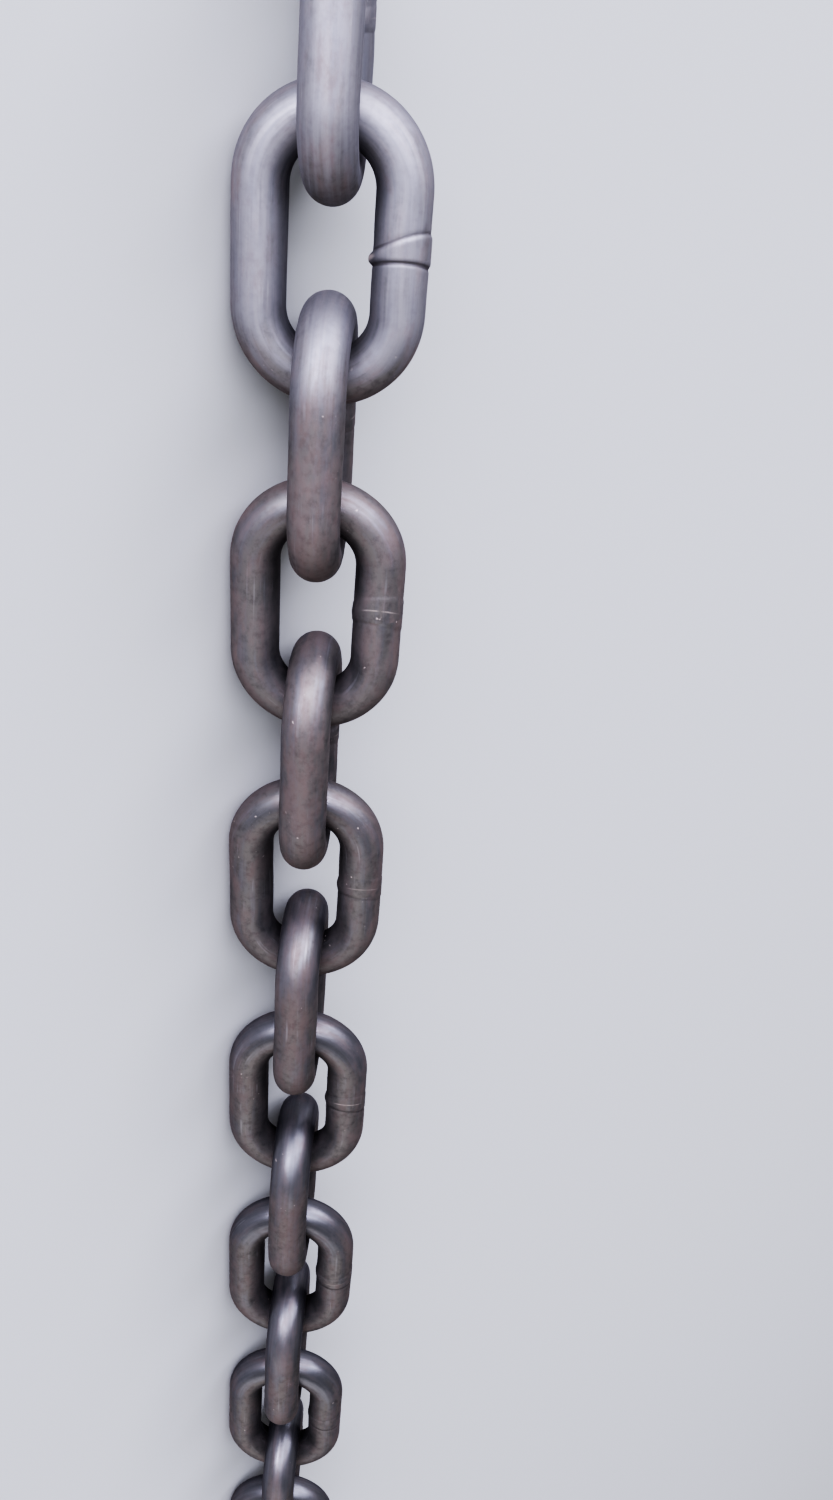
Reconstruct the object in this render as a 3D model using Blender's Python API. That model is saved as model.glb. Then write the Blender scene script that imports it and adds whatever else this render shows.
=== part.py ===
"""A metre of welded steel chain, pulled out straight on a level floor.

Each link is one piece of round bar, bent to an oval and welded shut. Every link is turned
a quarter turn from the one before it, and a chain pulled straight comes to lie on the
lower sides of all its links at once, so they lean 45 degrees to either side in turn.

Metres, +Z up. The chain runs along +X, and the origin is on the floor under its middle.
"""

from math import cos, pi, radians, sin, sqrt

import bmesh
import bpy
from mathutils import Vector

# Driving dimensions: the bar, and the link's opening in bar diameters
BAR = 0.013
INNER_LENGTH = 3.5 * BAR
INNER_WIDTH = 1.5 * BAR
LINKS = 22

# Room between two links where one hangs in the other
GAP = 0.0003

# How the first link leans, measured from +Y towards +Z, and how far each next one turns
FIRST_LEAN = radians(135)
TURN = radians(-90)

# Flat sides round the bar, and steps round each end of a link
SIDES = 12
CROWN_STEPS = 8

# The bar's section has as much steel in it as the round bar has
CORNER_RADIUS = BAR / 2 * sqrt(2 * pi / (SIDES * sin(2 * pi / SIDES)))
FLAT_RADIUS = CORNER_RADIUS * cos(pi / SIDES)

# The link's centre line: two half circles, joined by two straight sides
CROWN_RADIUS = (INNER_WIDTH + BAR) / 2
HALF_STRAIGHT = (INNER_LENGTH - INNER_WIDTH) / 2
CROWN_CENTRE = (INNER_LENGTH + BAR) / 2

# Where two links cross, their bars' centres are this far apart
SEAT = 2 * CORNER_RADIUS + GAP

# From the bar that a link hangs in to the bar that carries the next link
PITCH = 2 * CROWN_CENTRE - SEAT

# The lower side of each link lies on the floor on one flat of its bar
AXIS_HEIGHT = CROWN_RADIUS * sin(radians(45)) + FLAT_RADIUS


def clear_scene():
    for thing in list(bpy.data.objects):
        bpy.data.objects.remove(thing)


def dark_steel():
    """Hot-formed steel with a thin oily scale on it."""
    material = bpy.data.materials.new("dark_steel")
    material.use_nodes = True
    shader = material.node_tree.nodes["Principled BSDF"]
    shader.inputs["Base Color"].default_value = (0.13, 0.11, 0.11, 1)
    shader.inputs["Metallic"].default_value = 0.75
    shader.inputs["Roughness"].default_value = 0.42
    return material


def centre_line():
    """Points of the link's centre line, each with the direction that faces out of the link.

    They lie in the XY plane, with the link's length along X and its width along Y.
    """
    line = []
    for end in (1, -1):
        for step in range(CROWN_STEPS + 1):
            angle = pi * step / CROWN_STEPS - pi / 2
            outward = Vector((end * cos(angle), end * sin(angle), 0))
            middle = Vector((end * HALF_STRAIGHT, 0, 0))
            line.append((middle + CROWN_RADIUS * outward, outward))
    return line


def link_mesh(material):
    """One closed ring of bar, with the bar that the link hangs in at its origin."""
    shape = bmesh.new()
    to_origin = Vector((CROWN_CENTRE - SEAT, 0, 0))
    up = Vector((0, 0, 1))
    rings = []
    for point, outward in centre_line():
        ring = []
        for side in range(SIDES):
            angle = 2 * pi * side / SIDES
            offset = cos(angle) * outward + sin(angle) * up
            ring.append(shape.verts.new(to_origin + point + CORNER_RADIUS * offset))
        rings.append(ring)
    for ring, following in zip(rings, rings[1:] + rings[:1]):
        for side in range(SIDES):
            other = (side + 1) % SIDES
            shape.faces.new((ring[side], following[side], following[other], ring[other]))
    bmesh.ops.recalc_face_normals(shape, faces=shape.faces)
    mesh = bpy.data.meshes.new("chain_link")
    shape.to_mesh(mesh)
    shape.free()
    mesh.materials.append(material)
    mesh.shade_smooth()
    return mesh


def lay_chain(mesh):
    """Hang each link in the one before it, a quarter turn round and one pitch on."""
    overall = (LINKS - 1) * PITCH + 2 * CROWN_CENTRE + 2 * CORNER_RADIUS
    first_hang = CORNER_RADIUS + SEAT - overall / 2
    carrier = None
    for number in range(1, LINKS + 1):
        link = bpy.data.objects.new(f"link_{number:02d}", mesh)
        bpy.context.collection.objects.link(link)
        if carrier is None:
            link.location = (first_hang, 0, AXIS_HEIGHT)
            link.rotation_euler = (FIRST_LEAN, 0, 0)
        else:
            link.parent = carrier
            link.location = (PITCH, 0, 0)
            link.rotation_euler = (TURN, 0, 0)
        carrier = link


clear_scene()
lay_chain(link_mesh(dark_steel()))
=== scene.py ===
# %% [markdown]
# # A metre of welded steel chain
#
# The object is one length of welded chain made of 13 mm steel bar. Each link is a piece of bar that was
# bent to a loop while hot and welded shut, so it has soft lumps, a collar at the weld, and a dark skin of
# mill scale that handling has scuffed and damp has stained brown. The next link hangs through it, turned
# by a quarter.
#
# The construction comes packed as a fixed frame: 22 plain solids, one to a link, and the hinges between
# them. This lesson dresses every link. It builds one link as a Geometry Nodes tree, lays it 22 times with
# other settings, and gives it one procedural steel. Everything is in metres, with +Z up and the chain
# along X.

from math import pi, radians
from random import Random
from types import SimpleNamespace

import bmesh
import bpy
from mathutils import Matrix, Vector


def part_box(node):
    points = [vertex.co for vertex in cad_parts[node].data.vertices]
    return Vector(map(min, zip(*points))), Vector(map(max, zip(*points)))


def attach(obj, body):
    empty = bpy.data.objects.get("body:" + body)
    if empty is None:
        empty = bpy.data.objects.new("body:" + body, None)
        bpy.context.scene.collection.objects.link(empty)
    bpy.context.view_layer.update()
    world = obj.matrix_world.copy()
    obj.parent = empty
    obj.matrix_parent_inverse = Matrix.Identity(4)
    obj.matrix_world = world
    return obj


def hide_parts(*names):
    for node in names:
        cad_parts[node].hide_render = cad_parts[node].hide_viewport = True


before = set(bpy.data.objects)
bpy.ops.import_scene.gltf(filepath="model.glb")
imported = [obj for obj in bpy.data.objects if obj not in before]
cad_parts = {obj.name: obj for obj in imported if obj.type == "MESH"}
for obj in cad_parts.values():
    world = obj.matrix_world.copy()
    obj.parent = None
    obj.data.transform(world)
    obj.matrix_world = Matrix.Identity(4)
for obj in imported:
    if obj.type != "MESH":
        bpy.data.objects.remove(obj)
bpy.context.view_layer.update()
LINK_NAMES = sorted(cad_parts)

# %% [markdown]
# ## The bar's sizes
#
# Chain is sized by its bar. All other sizes of a link are so many bar diameters: the inside is 3.5 long
# and 1.5 wide, and the outside 5.5 long and 3.5 wide. Where each link lies is not worked out again: the box
# of the frame's own solid gives its middle.

# %% Name the sizes of a link
MM = 0.001
BAR = 13 * MM
INNER_LENGTH = 3.5 * BAR
INNER_WIDTH = 1.5 * BAR
STEEL_DENSITY = 7850


def middle_of(name):
    """The middle of a link in the frame."""
    low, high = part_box(name)
    return (low + high) / 2


print(f"a link is {1000 * (INNER_LENGTH + 2 * BAR):.1f} by {1000 * (INNER_WIDTH + 2 * BAR):.1f} mm outside")
print(f"link_01 lies at {tuple(round(x, 4) for x in middle_of('link_01'))}")

# %% [markdown]
# ## The camera
#
# The picture looks along the chain from close by, so the near links are large and the far ones small. The
# view was found by fitting the outlines of eleven links. A long lens or a camera square to the chain
# would lose this depth. The picture's up runs along the chain to its near end, and the lens looks down on
# the floor.

# %% Place the camera
LENS = 31.12
CAMERA_PLACE = Vector((-0.4844, -0.1991, 0.2580))
CAMERA_AHEAD = Vector((0.5195, 0.6055, -0.6029))
NEAREST_SEEN = 10 * MM
PICTURE_UP = Vector((-0.8511, 0.3042, -0.4279))


def aimed(place, ahead, up):
    """The matrix of a camera or a light at a place that looks ahead, with its upper edge towards up."""
    ahead = ahead.normalized()
    right = ahead.cross(up).normalized()
    turn = Matrix((right, right.cross(ahead), -ahead)).transposed()
    return Matrix.LocRotScale(place, turn.to_quaternion(), None)


def place_camera():
    """A camera at CAMERA_PLACE whose picture has PICTURE_UP on top."""
    camera = bpy.data.objects.new("camera", bpy.data.cameras.new("camera"))
    bpy.context.scene.collection.objects.link(camera)
    camera.data.lens = LENS
    camera.data.clip_start = NEAREST_SEEN
    camera.matrix_world = aimed(CAMERA_PLACE, CAMERA_AHEAD, PICTURE_UP)
    bpy.context.scene.camera = camera


place_camera()
print(f"the camera is {(middle_of('link_02') - CAMERA_PLACE).length:.3f} m from link_02")

# %% [markdown]
# ## Nodes written as sums
#
# A formula in a node tree is a row of Math nodes, which is slow to write and hard to read. One small
# class holds a socket and turns each Python operator into the node that it stands for, so `1 - mask` adds
# a Subtract node. The same two classes serve the Geometry Nodes tree and the shader.

# %% Write node trees as expressions
class Value:
    """A socket that takes part in arithmetic."""

    def __init__(self, tree, socket):
        self.tree = tree
        self.socket = socket

    def output(self, name):
        """Another output of the same node."""
        return Value(self.tree, self.socket.node.outputs[name])

    def __add__(self, other):
        return self.tree.math("ADD", self, other)

    def __sub__(self, other):
        return self.tree.math("SUBTRACT", self, other)

    def __mul__(self, other):
        return self.tree.math("MULTIPLY", self, other)

    def __truediv__(self, other):
        return self.tree.math("DIVIDE", self, other)

    def __pow__(self, other):
        return self.tree.math("POWER", self, other)

    def __rsub__(self, other):
        return self.tree.math("SUBTRACT", other, self)

    def __rpow__(self, other):
        return self.tree.math("POWER", other, self)

    def __neg__(self):
        return self.tree.math("SUBTRACT", 0.0, self)

    def __abs__(self):
        return self.tree.math("ABSOLUTE", self)

    __radd__ = __add__
    __rmul__ = __mul__

    def rise(self, low, high):
        """0 below low and 1 above high, with a soft step between them."""
        ends = {"Value": self, "From Min": low, "From Max": high}
        return self.tree.node("ShaderNodeMapRange", {"interpolation_type": "SMOOTHSTEP"}, ends)

    def parts(self):
        """The x, y and z of a vector."""
        split = self.tree.node("ShaderNodeSeparateXYZ", inputs={0: self})
        return split, split.output("Y"), split.output("Z")


class Tree:
    """A node tree that grows by one node a line."""

    def __init__(self, nodes):
        self.nodes = nodes

    def socket(self, sockets, key):
        """A socket by its number, or by its name among those that the node's settings leave in use."""
        if isinstance(key, int):
            return sockets[key]
        return next(socket for socket in sockets if socket.name == key and socket.enabled)

    def node(self, kind, settings=None, inputs=None, output=0):
        """Adds a node, sets it, then feeds its sockets, and gives one of its outputs."""
        made = self.nodes.nodes.new(kind)
        for name, setting in (settings or {}).items():
            setattr(made, name, setting)
        for key, source in (inputs or {}).items():
            target = self.socket(made.inputs, key)
            if isinstance(source, Value):
                self.nodes.links.new(source.socket, target)
            else:
                target.default_value = source
        return Value(self, self.socket(made.outputs, output))

    def math(self, operation, *terms):
        return self.node("ShaderNodeMath", {"operation": operation}, dict(enumerate(terms)))

    def vector_math(self, operation, *terms, output=0):
        return self.node("ShaderNodeVectorMath", {"operation": operation}, dict(enumerate(terms)), output)

    def scaled(self, vector, factor):
        feed = {"Vector": vector, "Scale": factor}
        return self.node("ShaderNodeVectorMath", {"operation": "SCALE"}, feed)

    def vector(self, x, y, z):
        return self.node("ShaderNodeCombineXYZ", inputs={0: x, 1: y, 2: z})

    def noise(self, place, size, seed=0.0, detail=2.0, roughness=0.5):
        """Smooth noise from 0 to 1, whose blobs are about size across."""
        feed = {"Vector": place, "W": seed, "Scale": 1 / size, "Detail": detail, "Roughness": roughness}
        return self.node("ShaderNodeTexNoise", {"noise_dimensions": "4D"}, feed)

    def mix(self, colour, other, share):
        """A colour with so much of another over it."""
        feed = {"Factor": share, "A": colour, "B": other}
        return self.node("ShaderNodeMix", {"data_type": "RGBA"}, feed, "Result")


print("the operators + - * / ** now add Math nodes, and a plain number may stand left of all but /")

# %% [markdown]
# ## The inputs of the link
#
# A link follows a rule, so it is made by a tree with its sizes as inputs. Modelling one by hand and
# copying it would give 22 equal links, and no two welded links are alike. With inputs, each link gets its
# own weld and lumps. The inputs are set by their identifiers, which stay the same when a name is changed.

# %% Give the tree its inputs
LINK_INPUTS = {
    "Bar Radius": BAR / 2,
    "Inner Length": INNER_LENGTH,
    "Inner Width": INNER_WIDTH,
    "Rings": 190,
    "Sides": 44,
    "Crown Upset": 0.2 * MM,
    "Wander": 0.35 * MM,
    "Lumps": 0.11 * MM,
    "Collar Height": 0.12 * MM,
    "Collar Length": 6.5 * MM,
    "Collar Taper": 0.2,
    "Face Skew": 1 * MM,
    "Side Skew": 0.0,
    "Groove Depth": 0.12 * MM,
    "Flash Height": 0.3 * MM,
    "Weld Line": 0.0,
    "Seed": 0.0,
    "Lean": 0.0,
    "Middle": (0.0, 0.0, 0.0),
}
SOCKET_KINDS = {int: "NodeSocketInt", float: "NodeSocketFloat", tuple: "NodeSocketVector"}


def start_link_tree():
    """An empty Geometry Nodes tree with the inputs of a link, and the identifier of each input."""
    group = bpy.data.node_groups.new("bent_bar_link", "GeometryNodeTree")
    known = {}
    for name, start in LINK_INPUTS.items():
        item = group.interface.new_socket(name, in_out="INPUT", socket_type=SOCKET_KINDS[type(start)])
        item.default_value = start
        known[name] = item.identifier
    item = group.interface.new_socket("Finish", in_out="INPUT", socket_type="NodeSocketMaterial")
    known["Finish"] = item.identifier
    group.interface.new_socket("Link", in_out="OUTPUT", socket_type="NodeSocketGeometry")
    return Tree(group), known


link_tree, link_sockets = start_link_tree()
ask = link_tree.node("NodeGroupInput").output
print(f"the tree takes {len(link_sockets)} inputs")

# %% [markdown]
# ## The path of the bar
#
# Seen flat, the bar's middle runs along two straights and round two half circles. The path could be a
# rectangle with rounded corners, but a straight line bent by a formula has a use later: the way along it
# says where on the bar a point lies, and both ends of the line meet where the real bar's ends were
# welded.
#
# The line starts and ends at the weld, in the middle of one straight. Going away from the middle of the
# other straight, `bend` is the angle turned so far, and `run` is what is left of the way on the
# straights. The rings stand closer at the weld, where the surface has finer shapes.

# %% Bend a line into the path
CROWDING = 0.35


def sign_of(value):
    """-1 below zero and 1 from zero up, where the Sign node would give 0 at zero."""
    return 1 - 2 * link_tree.math("LESS_THAN", value, 0.0)


bar_radius = ask("Bar Radius")
half_straight = (ask("Inner Length") - ask("Inner Width")) / 2
crown_radius = ask("Inner Width") / 2 + bar_radius
half_bar = 2 * half_straight + pi * crown_radius

line = link_tree.node("GeometryNodeCurvePrimitiveLine", inputs={"Start": (-1, 0, 0), "End": (1, 0, 0)})
line = link_tree.node("GeometryNodeResampleCurve", inputs={"Curve": line, "Count": ask("Rings") + 1})
step = link_tree.node("GeometryNodeInputPosition").parts()[0]
side = sign_of(step)
eased = abs(step) * CROWDING + (1 - CROWDING) * abs(step) * (2 - abs(step))
away = half_bar * eased
bend = link_tree.math("MINIMUM", link_tree.math("MAXIMUM", (away - half_straight) / crown_radius, 0.0), pi)
run = away - half_straight - bend * crown_radius
outward = link_tree.vector(side * link_tree.math("SINE", bend), -link_tree.math("COSINE", bend), 0.0)
out_x, out_y, _ = outward.parts()
path_x = out_x * crown_radius + side * (half_straight - abs(run))
path = link_tree.vector(path_x, out_y * crown_radius, 0.0)
print("the path is one line with its ends at the weld")

# %% [markdown]
# A hot link is pressed round a former and no press sets it quite even, so the path wanders by a third of
# a millimetre. The crowns must keep their places, or neighbours would cut into each other, so the wander
# fades there, and it fades at the weld, where the two ends have to meet in line.

# %% Let the path wander
WANDER_SIZE = 28 * MM
STRAIGHT_AT_WELD = 1.5 * MM
FREE_FROM_WELD = 8 * MM

drift = link_tree.noise(path, WANDER_SIZE, seed=ask("Seed"), detail=0.0).output("Color")
drift = link_tree.vector_math("SUBTRACT", drift, (0.5, 0.5, 0.5))
reach = 2 * ask("Wander") * (1 - out_x * out_x) * (half_bar - away).rise(STRAIGHT_AT_WELD, FREE_FROM_WELD)
path = link_tree.vector_math("ADD", path, link_tree.scaled(drift, reach))
print(f"the path wanders in waves of {1000 * WANDER_SIZE:.0f} mm")

# %% [markdown]
# ## The round bar
#
# Curve to Mesh sweeps a circle along the path. A formula on Position gives another answer once the points
# have moved, so three values are captured on the straight line first, and then it is bent: the way along
# the bar, the place on the path, and the direction out of the loop. They come through to the mesh. From
# them come the direction out of the bar, `spoke`, and how far it points out of the loop (`outside`) or
# square to it (`face`). The normals are kept in line with Z, because twist that creeps in along the path
# would turn the last ring against the first.

# %% Sweep the bar
capture = link_tree.nodes.nodes.new("GeometryNodeCaptureAttribute")
link_tree.nodes.links.new(line.socket, capture.inputs["Geometry"])
for kind, name, source in (
    ("FLOAT", "along", side * away),
    ("VECTOR", "spine", path),
    ("VECTOR", "outward", outward),
):
    capture.capture_items.new(kind, name)
    link_tree.nodes.links.new(source.socket, capture.inputs[name])
kept = Value(link_tree, capture.outputs["Geometry"]).output

bent = link_tree.node(
    "GeometryNodeSetPosition", inputs={"Geometry": kept("Geometry"), "Position": kept("spine")}
)
bent = link_tree.node("GeometryNodeSetCurveNormal", {"mode": "Z_UP"}, {"Curve": bent})
round_bar = link_tree.node(
    "GeometryNodeCurvePrimitiveCircle", inputs={"Resolution": ask("Sides"), "Radius": bar_radius}
)
tube = link_tree.node("GeometryNodeCurveToMesh", inputs={"Curve": bent, "Profile Curve": round_bar})
skin_place = link_tree.node("GeometryNodeInputPosition")
spoke = link_tree.vector_math("NORMALIZE", link_tree.vector_math("SUBTRACT", skin_place, kept("spine")))
outside = link_tree.vector_math("DOT_PRODUCT", spoke, kept("outward"), output="Value")
face = spoke.parts()[2]
print("the bar is swept, and every point knows its place on it")

# %% [markdown]
# ## Crowns and lumps
#
# Bending a bar thickens it inside the bend and thins it outside. The thick inside is also where the next
# link bears, and there the bar is rubbed smooth. Elsewhere the skin has the shallow lumps and flats of
# hot forming. They read the place on the finished loop and not the way along the bar, so they meet
# without a step at the weld.

# %% Shape the crowns and the lumps
LUMP_SIZE = 14 * MM
DENT_SIZE = 5 * MM
DENT_SHARE = 0.3
SEAT_ROUND_BAR = (0.45, 0.95)
SEAT_ROUND_CROWN = (0.55, 0.95)

kept_x = kept("outward").parts()[0]
in_crown = kept_x * kept_x
upset = -outside * in_crown * ask("Crown Upset")
seat = (-outside).rise(*SEAT_ROUND_BAR) * in_crown.rise(*SEAT_ROUND_CROWN)
lump = link_tree.noise(skin_place, LUMP_SIZE, seed=ask("Seed"), detail=1.0) - 0.5
dent = link_tree.noise(skin_place, DENT_SIZE, seed=ask("Seed") + 3.0, detail=1.0) - 0.5
lumps = (2 * lump + DENT_SHARE * dent) * ask("Lumps") * (1 - seat)
print(f"lumps are about {1000 * LUMP_SIZE:.0f} mm across and dents {1000 * DENT_SIZE:.0f} mm")

# %% [markdown]
# ## The weld
#
# The bar's two ends were pressed together white hot. The soft steel swelled into a collar, which was
# pressed round again, and a groove stayed where the collar ends. On the inside of the loop no tool
# reaches, so a lump of flash is left. The joint seldom stands square to the bar, which is the skew.
# `across` is the way from the weld along the bar, past that skew.

# %% Shape the weld
COLLAR_EDGE = 1.1 * MM
GROOVE_WIDTH = 0.45 * MM
SHALLOW_GROOVE = 0.55
FLASH_WIDTH = 1.5 * MM
FLASH_ROUND_BAR = (0.35, 1.0)
E = 2.71828

from_weld = half_bar - abs(kept("along"))
across = sign_of(kept("along")) * from_weld + face * ask("Face Skew") + outside * ask("Side Skew")
collar_half = ask("Collar Length") / 2 * (1 + ask("Collar Taper") * outside)
past_collar = abs(across) - collar_half
collar = (1 - past_collar.rise(-COLLAR_EDGE, 0.0)) * ask("Collar Height")
share = (1 + SHALLOW_GROOVE) / 2 + (1 - SHALLOW_GROOVE) / 2 * sign_of(across)
groove = E ** -((past_collar / GROOVE_WIDTH) ** 2.0) * share
flash = E ** -((across / FLASH_WIDTH) ** 2.0) * (-outside).rise(*FLASH_ROUND_BAR) * ask("Flash Height")
radius = bar_radius + upset + lumps + collar + flash - groove * ask("Groove Depth")
print(f"the groove beside the collar is {1000 * GROOVE_WIDTH:.2f} mm wide")

# %% [markdown]
# ## What the finish will ask
#
# Scratches and drawing lines run along the bar and round its bends, so the steel needs a place on the bar
# as if it were still straight. It is stored as an attribute with three numbers, along the bar and across
# it both ways, and with no seam round the bar. Each link starts BAR_STEP further along, so no two links
# carry the same marks. A second attribute holds the way from the weld, the weld's groove and its pale line.
# A third holds the seats where the neighbours bear, the flash, and which crown is near. They are stored on
# face corners, so that the two ends may differ where they meet.
#
# Merge by Distance then closes the ring. The mesh is leaned and moved to its place inside the tree,
# because a finished piece's object sits unturned at the origin.

# %% Close, store and place the link
BAR_STEP = 0.4
MERGE = 0.02 * MM


def store(mesh, name, vector):
    """Keeps a vector on the face corners of a mesh, for the material to read."""
    settings = {"data_type": "FLOAT_VECTOR", "domain": "CORNER"}
    return link_tree.node(
        "GeometryNodeStoreNamedAttribute", settings, {"Geometry": mesh, "Name": name, "Value": vector}
    )


shift = link_tree.scaled(spoke, radius)
tube = link_tree.node(
    "GeometryNodeSetPosition",
    inputs={"Geometry": tube, "Position": link_tree.vector_math("ADD", kept("spine"), shift)},
)
on_bar = link_tree.vector(
    kept("along") + ask("Seed") * BAR_STEP, outside * bar_radius, face * bar_radius
)
tube = store(tube, "bar", on_bar)
tube = store(tube, "weld", link_tree.vector(across, groove * ask("Groove Depth"), ask("Weld Line")))
tube = store(tube, "rubbed", link_tree.vector(seat, flash, kept_x))
tube = link_tree.node("GeometryNodeMergeByDistance", inputs={"Geometry": tube, "Distance": MERGE})
tube = link_tree.node("GeometryNodeSetShadeSmooth", inputs={"Geometry": tube})
local = link_tree.node("GeometryNodeInputPosition")
leaned = link_tree.node(
    "ShaderNodeVectorRotate", {"rotation_type": "X_AXIS"}, {"Vector": local, "Angle": ask("Lean")}
)
placed = link_tree.vector_math("ADD", leaned, ask("Middle"))
tube = link_tree.node("GeometryNodeSetPosition", inputs={"Geometry": tube, "Position": placed})
tube = link_tree.node("GeometryNodeRealizeInstances", inputs={"Geometry": tube})
tube = link_tree.node("GeometryNodeSetMaterial", inputs={"Geometry": tube, "Material": ask("Finish")})
end = link_tree.nodes.nodes.new("NodeGroupOutput")
link_tree.nodes.links.new(tube.socket, end.inputs["Link"])
print(f"the tree has {len(link_tree.nodes.nodes)} nodes")

# %% [markdown]
# ## Dark steel
#
# Mill scale is the skin that hot steel grows in air: a thin, hard oxide with a satin shine of its own,
# bluish where it is tight and brown where it is porous. It is not paint, so it has no even colour. The
# finish is built up in the order in which the real one came about: scale, then wear and dirt, then rust,
# then scuffs and specks from handling, then the weld. Each of these is a share from 0 to 1, made by a
# function of its own.
#
# All of them read the same few things: the place in space, the place on the straightened bar, and the
# marks that the tree stored. `outside` is 1 where the skin faces out of the loop and -1 where it faces
# in, and `crown` is -1 on a link's near crown and 1 on its far one.

# %% Read what the tree stored
def attribute(steel, name):
    """A vector that the tree stored on the link."""
    return steel.node("ShaderNodeAttribute", {"attribute_name": name}, output="Vector")


def skin_of(steel):
    """All that the finish reads."""
    bar = attribute(steel, "bar")
    across, groove, weld_line = attribute(steel, "weld").parts()
    seat, flash, crown = attribute(steel, "rubbed").parts()
    return SimpleNamespace(
        place=steel.node("ShaderNodeTexCoord", output="Object"),
        bar=bar,
        outside=bar.parts()[1] / (BAR / 2),
        crown=crown,
        seat=seat,
        across=across,
        groove=groove,
        flash=flash,
        weld_line=weld_line,
    )


print("the finish reads three attributes and the place")

# %% [markdown]
# The near end is the palest, in streaks of blue and grey along the bar: partly clean scale and partly
# painted light. From BROWN_X on the scale is darker and browner: partly damp staining and partly painted
# shade over the far links. Bar is rolled and drawn along its length, so whatever grows on it is drawn out
# that way too. Noise on the straightened bar, squeezed along it, gives such marks, and they follow the
# bends.
#
# The noise is a cloud of greys around a half, and `rise` turns it into marks: what lies below the first of
# its two numbers is left out, and what lies above the second is a full mark. The closer the two are, the
# harder is the mark's edge, and the higher they are, the fewer marks there are. Such pairs have names that
# end in EDGE here, and in ROUND_BAR or ROUND_LINK where they fade a mark over the form.

# %% Lay down the mill scale
# The pale blue and grey of the near links are partly painted light, and the dark scale of the far links is
# partly painted shade.
SCALE_BLUE = (0.192, 0.186, 0.206, 1.0)
SCALE_GREY = (0.226, 0.214, 0.226, 1.0)
SCALE_DARK = (0.127, 0.126, 0.138, 1.0)
SCALE_BROWN = (0.153, 0.141, 0.134, 1.0)
STREAK_LENGTH = 22 * MM
STREAK_WIDTH = 1.4 * MM
STREAK_EDGE = (0.32, 0.68)
PALE_END_X = -0.418
BROWN_X = -0.376


def drawn_noise(steel, skin, length, width, **settings):
    """Noise stretched along the bar."""
    squeezed = steel.vector_math("MULTIPLY", skin.bar, (width / length, 1.0, 1.0))
    return steel.noise(squeezed, width, **settings)


def streak_share(steel, skin):
    """Streaks of paler scale along the bar."""
    return drawn_noise(steel, skin, STREAK_LENGTH, STREAK_WIDTH, seed=3.0).rise(*STREAK_EDGE)


def damp_share(skin):
    """0 at the near end, which is painted pale, and 1 from BROWN_X on, where damp and painted shade darken
    it.
    """
    return skin.place.parts()[0].rise(PALE_END_X, BROWN_X)


print(f"the scale turns brown between x = {PALE_END_X} and x = {BROWN_X}")

# %% [markdown]
# Use rubs the links. The near crown of each link is dragged over edges and comes out dark and glossy, more
# so further along the chain. The outside of the far crown is made browner and darker: partly a stain and
# partly painted shade. Both fade over the form, and a noise makes the wear uneven.

# %% Rub the near crowns, and stain and shade the far ones
WEAR_SIZE = 16 * MM
WEAR_NOISE = 0.7
LESS_WEAR = 0.35
WORN_ROUND_LINK = (-0.4, 1.0)
WORN_ROUND_BAR = (-0.5, 0.5)
FIRST_GLOSS = 0.2
GLOSSY_X = -0.06
STAIN_AND_SHADE_ROUND_LINK = (0.0, 1.0)
STAIN_AND_SHADE_ROUND_BAR = (-0.3, 0.8)


def worn_share(steel, skin):
    """How far the skin is rubbed glossy: FIRST_GLOSS at most up to BROWN_X, and fully from GLOSSY_X on."""
    along_link = WEAR_NOISE * steel.noise(skin.bar, WEAR_SIZE, seed=5.0) - skin.crown - LESS_WEAR
    along_chain = FIRST_GLOSS + (1 - FIRST_GLOSS) * skin.place.parts()[0].rise(BROWN_X, GLOSSY_X)
    return along_link.rise(*WORN_ROUND_LINK) * skin.outside.rise(*WORN_ROUND_BAR) * along_chain


def soiled_share(skin):
    """How far the outside of the far crown is stained and painted with shade."""
    return skin.crown.rise(*STAIN_AND_SHADE_ROUND_LINK) * skin.outside.rise(*STAIN_AND_SHADE_ROUND_BAR)


print(f"the crowns are glossiest from x = {GLOSSY_X} on")

# %% [markdown]
# Brown scale is where damp got in, and it also carries part of the painted shade over the far links and the
# far crowns. It stays away from the crowns that are rubbed glossy, it thins out on the pale streaks, where
# the scale is tight, and it comes in patches that are drawn out along the bar.

# %% Turn the scale brown
PATCH_LENGTH = 14 * MM
PATCH_WIDTH = 4 * MM
PATCH_EDGE = (0.36, 0.64)
BROWN_IF_DAMP_AND_SHADE = 0.8
LESS_IF_WORN = 1.1
BROWN_SWING = 0.5
PATCH_MEAN = 0.4
STREAK_MEAN = 0.5


def brown_share(steel, skin, streaks, damp, worn, soiled):
    """How far the scale is brown: in patches, between the streaks, on the damp and shaded far links, and on
    the stained and shaded far crowns.
    """
    patches = drawn_noise(steel, skin, PATCH_LENGTH, PATCH_WIDTH, seed=2.0, detail=4.0).rise(*PATCH_EDGE)
    share = damp * (BROWN_IF_DAMP_AND_SHADE - LESS_IF_WORN * worn) + (patches - PATCH_MEAN) * BROWN_SWING
    share = share - (streaks - STREAK_MEAN) * BROWN_SWING + BROWN_SWING * soiled
    return share.rise(0.0, 1.0)


print(f"brown patches are about {1000 * PATCH_LENGTH:.0f} by {1000 * PATCH_WIDTH:.0f} mm")

# %% [markdown]
# Rust starts as a bloom in the scale's pores. It comes more easily where the chain is damp, on the
# outside of the loops, which rain wets first, and on their inside, where nothing rubs it off.

# %% Let the rust bloom
RUST = (0.144, 0.097, 0.089, 1.0)
RUST_DARK = (0.062, 0.054, 0.056, 1.0)
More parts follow.
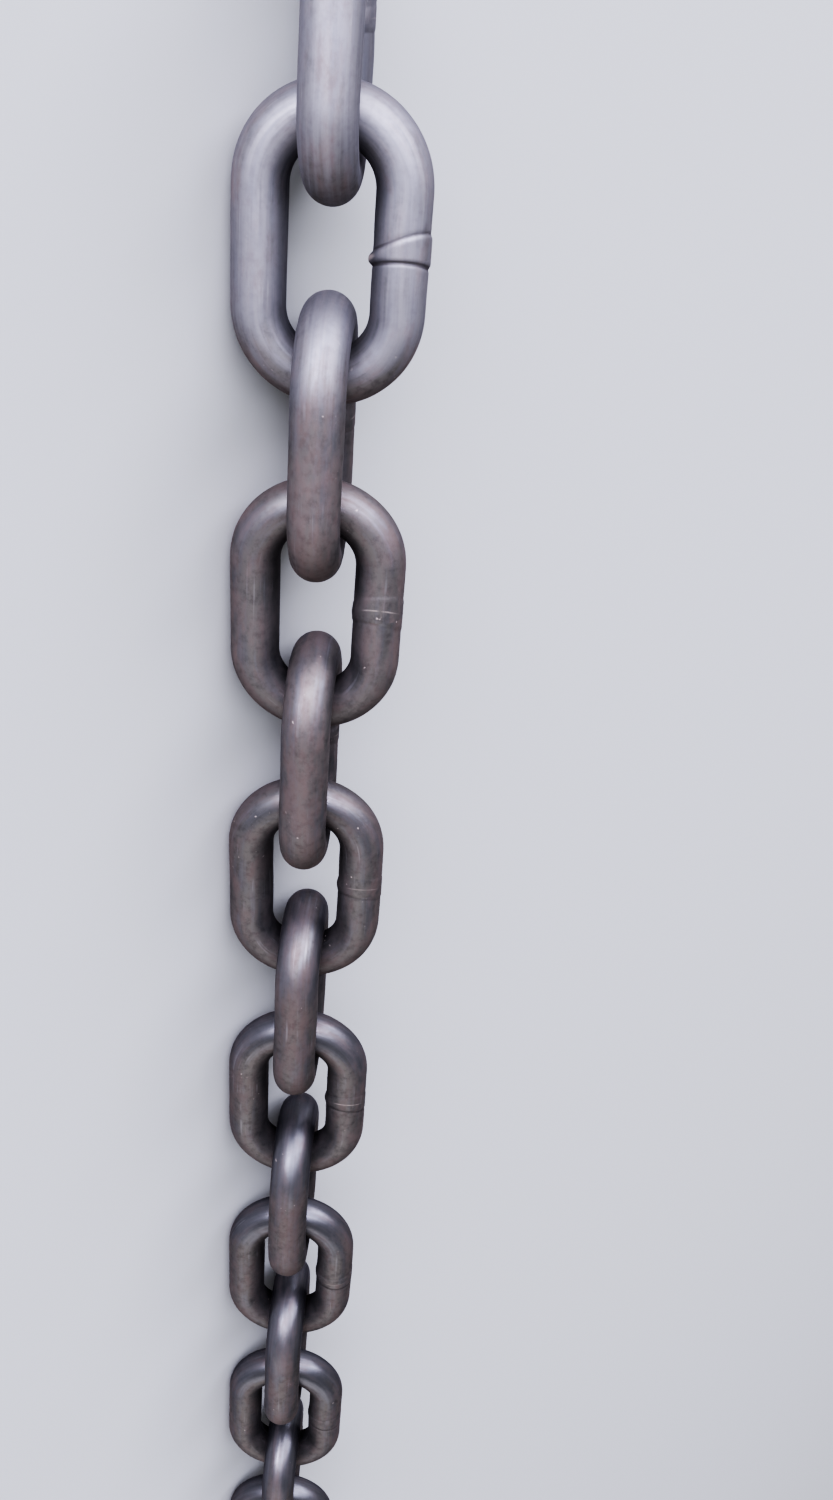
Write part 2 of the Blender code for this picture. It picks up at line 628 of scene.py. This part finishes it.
# This dark colour is painted shade, not rust: coated_colour darkens the inside faces of each loop with it.
INNER_SHADE = (0.050, 0.051, 0.056, 1.0)
RUST_LENGTH = 9 * MM
RUST_WIDTH = 4 * MM
RUST_EDGE = (0.50, 0.86)
RUST_IF_DAMP = 0.12
NO_RUST_IF_WORN = 0.15
RUST_OUTSIDE = 0.12
RUST_INSIDE = 0.05
OUTER_ROUND_BAR = (0.3, 1.0)


def rust_share(steel, skin, damp, worn):
    """Where the rust has come through."""
    bloom = drawn_noise(steel, skin, RUST_LENGTH, RUST_WIDTH, seed=9.0, detail=5.0, roughness=0.68)
    bloom = bloom + RUST_IF_DAMP * damp - NO_RUST_IF_WORN * worn
    bloom = bloom + RUST_OUTSIDE * skin.outside.rise(*OUTER_ROUND_BAR)
    bloom = bloom + RUST_INSIDE * (-skin.outside).rise(0.0, 1.0)
    return bloom.rise(*RUST_EDGE)


print(f"blooms of rust are about {1000 * RUST_LENGTH:.0f} by {1000 * RUST_WIDTH:.0f} mm")

# %% [markdown]
# Handling drags links along each other and over the ground. That leaves fine lines along the bar, where
# the scale is scratched through to paler metal, and past the clean end it leaves specks of grit in small
# groups. The lines are the same drawn-out noise as the streaks, only finer.

# %% Scratch and scuff the skin
BARE = (0.30, 0.285, 0.30, 1.0)
GRIT = (0.50, 0.42, 0.39, 1.0)
LINE_LENGTH = 18 * MM
LINE_WIDTH = 0.7 * MM
LINE_EDGE = (0.58, 0.76)
SCUFF_SIZE = 9 * MM
SCUFF_EDGE = (0.46, 0.66)
SPECK_SIZE = 0.9 * MM
SPECK_EDGE = (0.72, 0.84)
GROUP_SIZE = 6 * MM
GROUP_EDGE = (0.60, 0.68)


def scuff_share(steel, skin, lines):
    """Where the scale is scratched through."""
    where = steel.noise(skin.place, SCUFF_SIZE, seed=14.0)
    return lines.rise(*LINE_EDGE) * where.rise(*SCUFF_EDGE)


def speck_share(steel, skin, damp):
    """Where a speck of grit sits."""
    spots = steel.noise(skin.place, SPECK_SIZE, seed=21.0, detail=0.0)
    where = steel.noise(skin.place, GROUP_SIZE, seed=23.0)
    return spots.rise(*SPECK_EDGE) * where.rise(*GROUP_EDGE) * damp


print(f"lines {1000 * LINE_WIDTH:.2f} mm wide and {1000 * LINE_LENGTH:.0f} mm long")

# %% [markdown]
# At the weld, dirt is caught in the groove beside the collar. On some links the closed joint shows as a
# thin pale line, and a painted glint lights the tip of the flash. These marks have no noise: they read what
# the tree stored in metres, and their edges are given in millimetres.

# %% Mark the weld
LINE_FADE = (0.06, 0.3)
LINE_MIDDLE = 0.15
LINE_END = (0.4, 0.8)
DIRT_EDGE = (0.02, 0.16)
GLINT_EDGE = (0.5, 0.75)


def pale_line(skin):
    """The line of the closed joint, on the side of the bar that faces up."""
    near = 1 - (abs(skin.across) / MM).rise(*LINE_FADE)
    return near * skin.weld_line * (1 - abs(skin.outside - LINE_MIDDLE).rise(*LINE_END))


def caught_dirt(skin):
    """Dirt in the groove."""
    return (skin.groove / MM).rise(*DIRT_EDGE)


def flash_glint(skin):
    """A painted glint on the top of the flash."""
    return (skin.flash / MM).rise(*GLINT_EDGE)


print("the weld has a pale line, a dirty groove and a bright tip")

# %% [markdown]
# The colours go over each other like coats of paint, in order, each with its share. A list of coats is
# easier to read and to change than a row of Mix nodes. Few coats cover fully, so what lies below still
# shows through, and `mottle`, a fine noise, gives the dark rust and the weld's line a grain.

# %% Mix the coats of colour
MOTTLE_SIZE = 2.2 * MM
SEAT_BRIGHT = (0.30, 0.29, 0.30, 1.0)
STREAK_SHOWS = 0.4
DARK_GRAIN_EDGE = (0.42, 0.72)
GRAIN_COVER = 0.14
GRAIN_IF_BROWN = 0.38
STAIN_AND_SHADE_COVER = 0.22
RUST_COVER = 0.6
INNER_ROUND_BAR = (0.1, 0.9)
INNER_SHADE_COVER = 0.45
INNER_SHADE_IF_BROWN = 0.15
BARE_COVER = 0.32
SEAT_COVER = 0.4
DIRT_COVER = 0.7
LINE_GRAIN_EDGE = (0.25, 0.55)
LINE_COVER = 0.6
GLINT_COVER = 0.8


def coated_colour(steel, skin, shares):
    """The colour of the skin, coat over coat."""
    dark_grain = shares.mottle.rise(*DARK_GRAIN_EDGE) * (GRAIN_COVER + GRAIN_IF_BROWN * shares.brown)
    painted_shade_inside = (-skin.outside).rise(*INNER_ROUND_BAR)
    weld_line = pale_line(skin) * shares.mottle.rise(*LINE_GRAIN_EDGE)
    coats = (
        (SCALE_GREY, shares.streaks),
        # Partly damp and partly painted shade: the scale is darker beyond the first links.
        (SCALE_DARK, shares.damp * (1 - STREAK_SHOWS * shares.streaks)),
        (SCALE_BROWN, shares.brown),
        # Dark grain, and on the outside of the far crowns a stain that is partly painted shade.
        (RUST_DARK, dark_grain + STAIN_AND_SHADE_COVER * shares.soiled),
        (RUST, shares.rust * RUST_COVER),
        # Painted shade: the faces on the inside of each loop are darkened, as if the other straight shaded
        # them.
        (INNER_SHADE, painted_shade_inside * (INNER_SHADE_COVER + INNER_SHADE_IF_BROWN * shares.brown)),
        (BARE, shares.scuffs * BARE_COVER),
        (SEAT_BRIGHT, shares.seat * SEAT_COVER),
        (RUST_DARK, caught_dirt(skin) * DIRT_COVER),
        # The pale line of the joint, and a painted glint on the tip of the flash.
        (GRIT, weld_line * LINE_COVER + flash_glint(skin) * GLINT_COVER),
        (GRIT, shares.specks),
    )
    colour = SCALE_BLUE
    for coat, share in coats:
        colour = steel.mix(colour, coat, share)
    return colour


print(f"the grain in the colour is {1000 * MOTTLE_SIZE:.1f} mm across")

# %% [markdown]
# The steel itself is one Principled BSDF. Tight scale is dark and shines like metal, and rust is not a
# metal, so it takes some of that away. Only the colour, roughness, metallic and bump change over the
# surface. Only sockets that can be baked change over the surface.
# The tint that reflections take at the edges is one constant colour, darker than white, because scale
# swallows light that grazes it. The bump is worked out in metres: a shallow grain, soft pits in the rust,
# and the drawn lines.

# %% Make the steel
GRAIN_SIZE = 0.9 * MM
PIT_SIZE = 2.1 * MM
BUMP_DEPTH = 0.06 * MM
GRAIN_HEIGHT = 0.35
PIT_HEIGHT = 0.6
LINE_HEIGHT = 0.3
EDGE_TINT = (0.28, 0.26, 0.28, 1.0)
ROUGHNESS = 0.57
ROUGHER = {
    "mottle": 0.12,
    "rust": 0.10,
    "worn": -0.17,
    "damp": -0.11,
    "streaks": -0.05,
    "scuffs": -0.06,
    "seat": -0.06,
}
METALLIC = 0.88
MORE_METALLIC = {"brown": -0.08, "rust": -0.25, "specks": -0.3}


def shares_of(steel, skin, lines):
    """How far each thing has come at a place on the skin, from 0 to 1."""
    streaks = streak_share(steel, skin)
    damp = damp_share(skin)
    worn = worn_share(steel, skin)
    soiled = soiled_share(skin)
    return SimpleNamespace(
        streaks=streaks,
        damp=damp,
        worn=worn,
        soiled=soiled,
        brown=brown_share(steel, skin, streaks, damp, worn, soiled),
        rust=rust_share(steel, skin, damp, worn),
        scuffs=scuff_share(steel, skin, lines),
        specks=speck_share(steel, skin, damp),
        mottle=steel.noise(skin.place, MOTTLE_SIZE, seed=31.0, detail=4.0, roughness=0.65),
        seat=skin.seat,
    )


def changed_by(start, weights, shares):
    """A number that each share raises or lowers by its weight."""
    for name, weight in weights.items():
        start = start + weight * getattr(shares, name)
    return start


def scaled_steel():
    """The material of every link."""
    material = bpy.data.materials.new("scaled_steel")
    material.use_nodes = True
    material.node_tree.nodes.clear()
    steel = Tree(material.node_tree)
    skin = skin_of(steel)
    lines = drawn_noise(steel, skin, LINE_LENGTH, LINE_WIDTH, seed=1.0, detail=1.0)
    shares = shares_of(steel, skin, lines)
    rust = shares.rust
    grain = steel.noise(skin.place, GRAIN_SIZE, seed=41.0, detail=3.0, roughness=0.6)
    pits = steel.noise(skin.place, PIT_SIZE, seed=43.0)
    height = GRAIN_HEIGHT * grain * (1 + rust) + PIT_HEIGHT * pits * rust + LINE_HEIGHT * lines * (1 - rust)
    bump = steel.node("ShaderNodeBump", inputs={"Height": height, "Distance": BUMP_DEPTH, "Strength": 1.0})

    surface = steel.node(
        "ShaderNodeBsdfPrincipled",
        inputs={
            "Base Color": coated_colour(steel, skin, shares),
            "Roughness": changed_by(ROUGHNESS, ROUGHER, shares),
            "Metallic": changed_by(METALLIC, MORE_METALLIC, shares),
            "Normal": bump,
            "Specular Tint": EDGE_TINT,
        },
    )
    end = material.node_tree.nodes.new("ShaderNodeOutputMaterial")
    material.node_tree.links.new(surface.socket, end.inputs["Surface"])
    return material


steel_finish = scaled_steel()
print(f"{steel_finish.name} has {len(steel_finish.node_tree.nodes)} nodes")

# %% [markdown]
# ## Laying the links
#
# Each link gets the tree on an object of its own, with its own middle, lean, seed and weld. Neighbours lie
# a quarter turn apart, and the chain rests on the lower sides of all. So links of even number lean 45
# degrees one way, with their weld on the upper straight, and links of odd number as much the other way,
# with their weld on the lower one. The welds that show plainly are listed one by one, and the others are
# drawn from a fixed seed.

# %% Set the welds
SEED = 7
EVEN_LEAN = radians(45)
ODD_LEAN = radians(-45)
SEEN_WELDS = {
    2: {
        "Collar Height": 0.3 * MM,
        "Collar Length": 5.4 * MM,
        "Collar Taper": 0.4,
        "Face Skew": 2.3 * MM,
        "Side Skew": 1.3 * MM,
        "Groove Depth": 0.28 * MM,
        "Flash Height": 0.75 * MM,
    },
    4: {"Collar Height": 0.16 * MM, "Collar Length": 8 * MM, "Face Skew": 3.5 * MM, "Weld Line": 1.0},
    6: {"Collar Height": 0.10 * MM, "Face Skew": 3.0 * MM, "Weld Line": 0.4},
    8: {"Collar Height": 0.14 * MM, "Face Skew": 3.5 * MM, "Weld Line": 0.9},
}
draw = Random(SEED)


def weld_of(number):
    """The weld of a link: drawn by chance, then as it shows where it shows."""
    weld = {
        "Collar Height": draw.uniform(0.06, 0.18) * MM,
        "Collar Length": draw.uniform(5.5, 8.0) * MM,
        "Face Skew": draw.uniform(-3.0, 3.5) * MM,
        "Groove Depth": draw.uniform(0.06, 0.16) * MM,
        "Flash Height": draw.uniform(0.15, 0.45) * MM,
        "Weld Line": draw.choice((0.0, 0.3, 0.8)),
    }
    return {**weld, **SEEN_WELDS.get(number, {})}


print(f"{len(SEEN_WELDS)} welds are set by hand")

# %% [markdown]
# The tree runs once for each link, on an empty mesh, and what it gives becomes the link's own mesh. A plain
# mesh can be measured: a link that is closed has no open edges, and its volume gives its weight.

# %% Make the links
def make_link(number, node_name):
    """One link as a plain mesh in its place, made by the tree."""
    holder = bpy.data.objects.new(f"{node_name}_steel", bpy.data.meshes.new(f"{node_name}_steel"))
    bpy.context.scene.collection.objects.link(holder)
    modifier = holder.modifiers.new("bent bar", "NODES")
    modifier.node_group = link_tree.nodes
    own = {
        **LINK_INPUTS,
        **weld_of(number),
        "Seed": float(number),
        "Lean": EVEN_LEAN if number % 2 == 0 else ODD_LEAN,
        "Middle": tuple(middle_of(node_name)),
        "Finish": steel_finish,
    }
    for name, value in own.items():
        modifier[link_sockets[name]] = value
    bpy.context.view_layer.update()
    depsgraph = bpy.context.evaluated_depsgraph_get()
    mesh = bpy.data.meshes.new_from_object(
        holder.evaluated_get(depsgraph), preserve_all_data_layers=True, depsgraph=depsgraph
    )
    holder.modifiers.clear()
    holder.data = mesh
    mesh.name = holder.name
    return holder


def measured(mesh):
    """Triangles, open edges and volume of a mesh."""
    shape = bmesh.new()
    shape.from_mesh(mesh)
    triangles = sum(len(face.verts) - 2 for face in shape.faces)
    open_edges = sum(not edge.is_manifold for edge in shape.edges)
    volume = shape.calc_volume(signed=True)
    shape.free()
    return triangles, open_edges, volume


links = {name: make_link(number, name) for number, name in enumerate(LINK_NAMES, 1)}
for name, link in links.items():
    triangles, open_edges, volume = measured(link.data)
    print(f"{name}: {triangles} triangles, {open_edges} open edges, {1000 * volume * STEEL_DENSITY:.0f} g")

# %% [markdown]
# ## Hanging the links on the frame
#
# Every link rides on the body of its own name, so it swings when the frame does, and it stands for the
# plain solid of that name, which stays in the frame for collision.

# %% Ride on the frame
for name, link in links.items():
    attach(link, name)
    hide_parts(name)

# %% [markdown]
# ## Floor and light
#
# The floor is plain and pale. Scaled steel shows its surroundings more than its own colour, so the light
# comes from large soft sheets and not from lamps. The largest stands far beyond the near end, so that the
# floor is lit evenly, and every crown that faces it carries a highlight. A second hangs close over the
# first links, so their straights shine, and the links beyond its edge go darker. A third stands low on the
# left and lights the left shoulders of the crowns. A weak fourth fills the straights of the far links.
# Light linking lets these three shine on the steel only, or each would leave a bright patch on the floor.
# The world adds an even grey. The contrast is raised in the view settings, as a camera does.

# %% Lay the floor and hang the lights
FLOOR_WIDTH = 12.0
FLOOR_COLOUR = (0.62, 0.62, 0.61, 1.0)
FLOOR_ROUGHNESS = 0.8
CLEAR_SKY = (0.80, 0.81, 1.0)
SHEETS = {
    "end_sheet": {
        "place": Vector((-5.0, -0.45, 3.0)),
        "ahead": Vector((1.1, 0.1, -0.6)),
        "up": Vector((0.0, 0.0, 1.0)),
        "sides": (13.7, 5.7),
        "power": 1230.0,
        "colour": CLEAR_SKY,
    },
    "near_sheet": {
        "place": Vector((-0.95, -0.082, 0.566)),
        "ahead": Vector((-0.45, 0.63, -0.63)),
        "up": Vector((0.0, 1.0, 1.0)),
        "sides": (1.1, 1.2),
        "power": 24.0,
        "colour": CLEAR_SKY,
    },
    "side_sheet": {
        "place": Vector((-1.5, -1.5, 0.45)),
        "ahead": Vector((1.25, 1.5, -0.43)),
        "up": Vector((0.0, 0.0, 1.0)),
        "sides": (1.0, 0.8),
        "power": 20.0,
        "colour": CLEAR_SKY,
    },
    "far_fill": {
        "place": Vector((1.1, -0.9, 0.75)),
        "ahead": Vector((-1.25, 0.9, -0.75)),
        "up": Vector((0.0, 0.0, 1.0)),
        "sides": (1.8, 1.8),
        "power": 12.0,
        "colour": (1.0, 0.98, 1.0),
    },
}
WORLD_COLOUR = (0.93, 0.95, 1.0, 1.0)
WORLD_STRENGTH = 0.35


def lay_floor():
    """A pale square at z = 0."""
    half = FLOOR_WIDTH / 2
    mesh = bpy.data.meshes.new("floor")
    corners = [(-half, -half, 0), (half, -half, 0), (half, half, 0), (-half, half, 0)]
    mesh.from_pydata(corners, [], [(0, 1, 2, 3)])
    material = bpy.data.materials.new("pale_floor")
    material.use_nodes = True
    shader = material.node_tree.nodes["Principled BSDF"]
    shader.inputs["Base Color"].default_value = FLOOR_COLOUR
    shader.inputs["Roughness"].default_value = FLOOR_ROUGHNESS
    mesh.materials.append(material)
    floor = bpy.data.objects.new("floor", mesh)
    bpy.context.scene.collection.objects.link(floor)
    return floor


def hang_sheet(name, place, ahead, up, sides, power, colour):
    """A sheet of light that shines ahead and that no camera sees."""
    light = bpy.data.lights.new(name, "AREA")
    light.shape = "RECTANGLE"
    light.size, light.size_y = sides
    light.energy = power
    light.color = colour
    sheet = bpy.data.objects.new(name, light)
    sheet.matrix_world = aimed(place, ahead, up)
    sheet.visible_camera = False
    bpy.context.scene.collection.objects.link(sheet)
    return sheet


floor = lay_floor()
lights = {name: hang_sheet(name, **settings) for name, settings in SHEETS.items()}
steel_only = bpy.data.collections.new("steel_only")
for link in links.values():
    steel_only.objects.link(link)
for name in ("near_sheet", "side_sheet", "far_fill"):
    lights[name].light_linking.receiver_collection = steel_only
world = bpy.data.worlds.new("studio")
world.use_nodes = True
world.node_tree.nodes["Background"].inputs["Color"].default_value = WORLD_COLOUR
world.node_tree.nodes["Background"].inputs["Strength"].default_value = WORLD_STRENGTH
bpy.context.scene.world = world
bpy.context.scene.view_settings.look = "AgX - Very High Contrast"
print(f"a {FLOOR_WIDTH:.0f} m floor and {len(SHEETS)} sheets of light")
